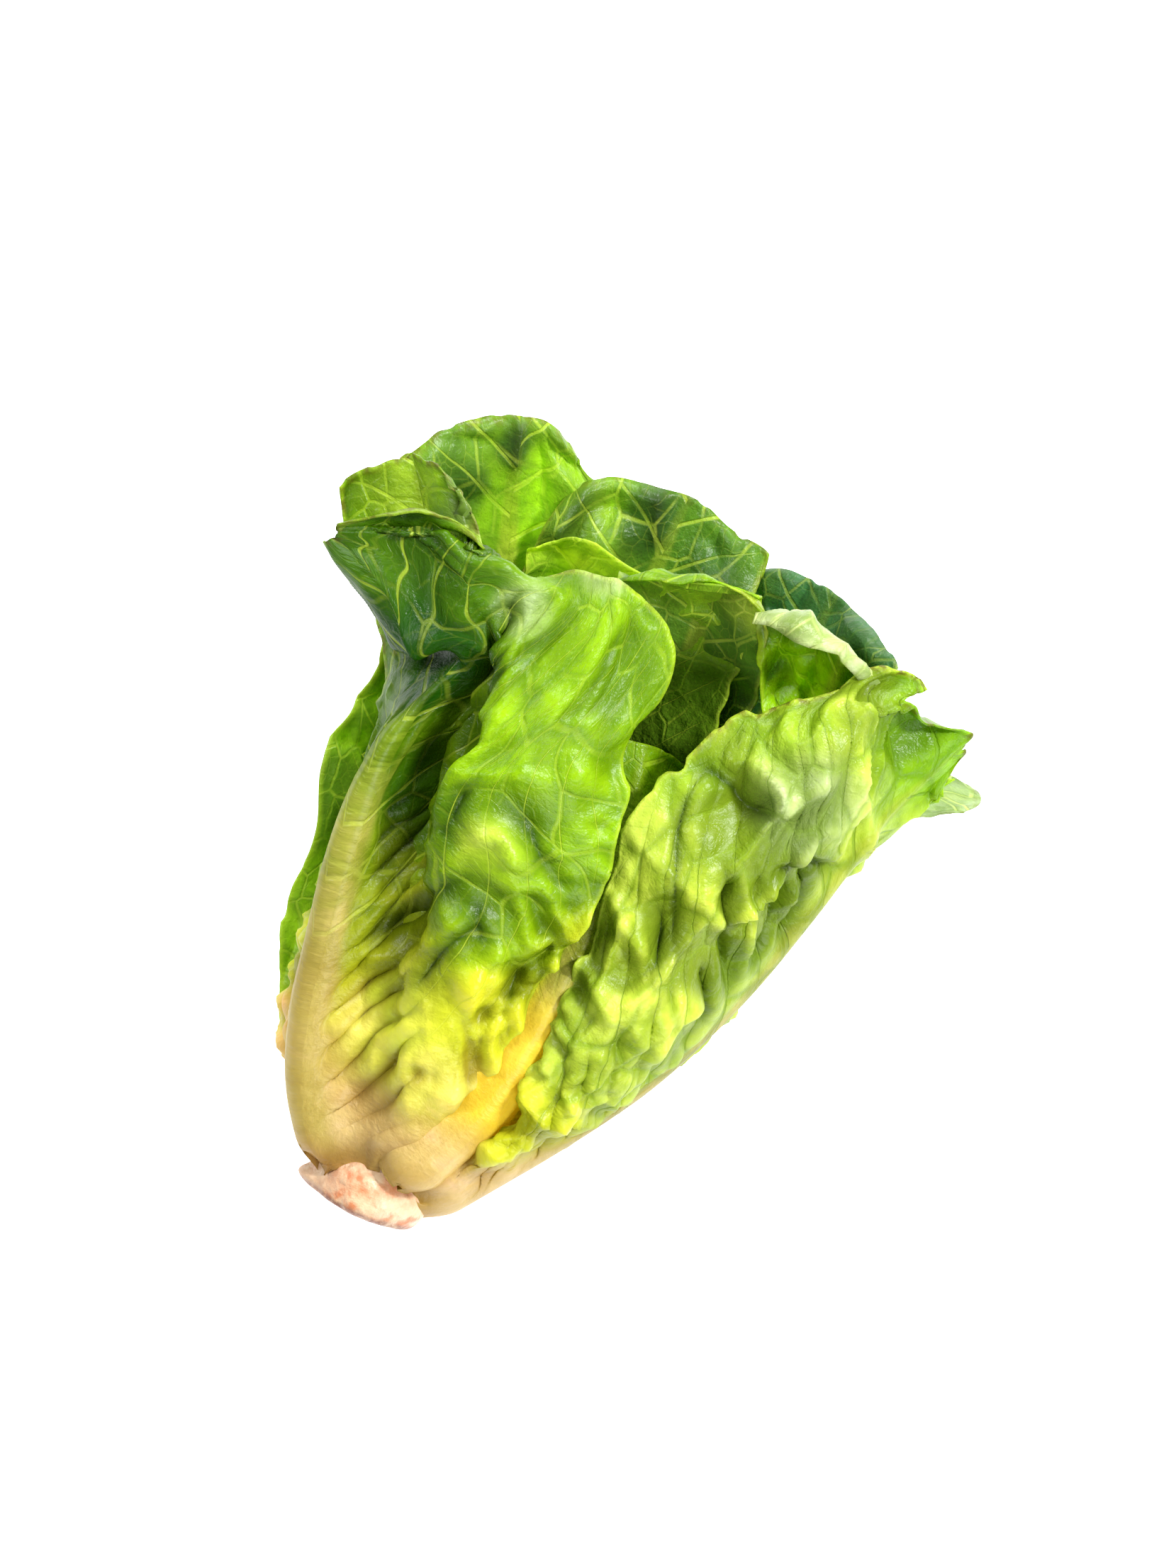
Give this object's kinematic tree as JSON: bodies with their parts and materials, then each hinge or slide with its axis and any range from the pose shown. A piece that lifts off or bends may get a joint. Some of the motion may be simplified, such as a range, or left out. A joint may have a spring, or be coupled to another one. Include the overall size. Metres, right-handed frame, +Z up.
{
  "type": "head of lettuce",
  "caption": "Head of cos lettuce lying on its side: cut stem, overlapping crinkled leaves with thick pale midribs, spread leaf tips and a tight inner heart.",
  "frame": {"origin": "on the surface that the head lies on, below the middle of its bounding box", "axes": "+Y from the cut stem to the leaf tips, +Z up from the surface, +X to the right seen from above with the stem nearest"},
  "size_m": [0.1996, 0.2396, 0.1252],
  "materials": {
    "stem": null,
    "outer_leaf": null,
    "dark_leaf": null,
    "heart_leaf": null
  },
  "bodies": {
    "root": {"stem": "stem", "outer_leaf_upper_left": "outer_leaf", "outer_leaf_right": "outer_leaf", "outer_leaf_left": "outer_leaf", "outer_leaf_lower_left": "dark_leaf", "outer_leaf_bottom": "dark_leaf", "outer_leaf_lower_right": "dark_leaf", "outer_leaf_far_right": "dark_leaf", "middle_leaf_upper_left": "outer_leaf", "middle_leaf_left": "dark_leaf", "middle_leaf_top": "outer_leaf", "middle_leaf_right": "outer_leaf", "middle_leaf_lower_right": "outer_leaf", "middle_leaf_lower_left": "outer_leaf", "heart_leaf_1": "heart_leaf", "heart_leaf_2": "heart_leaf", "heart_leaf_3": "heart_leaf", "heart_leaf_4": "heart_leaf", "heart_leaf_5": "heart_leaf", "heart_leaf_6": "heart_leaf"}
  },
  "joints": []
}
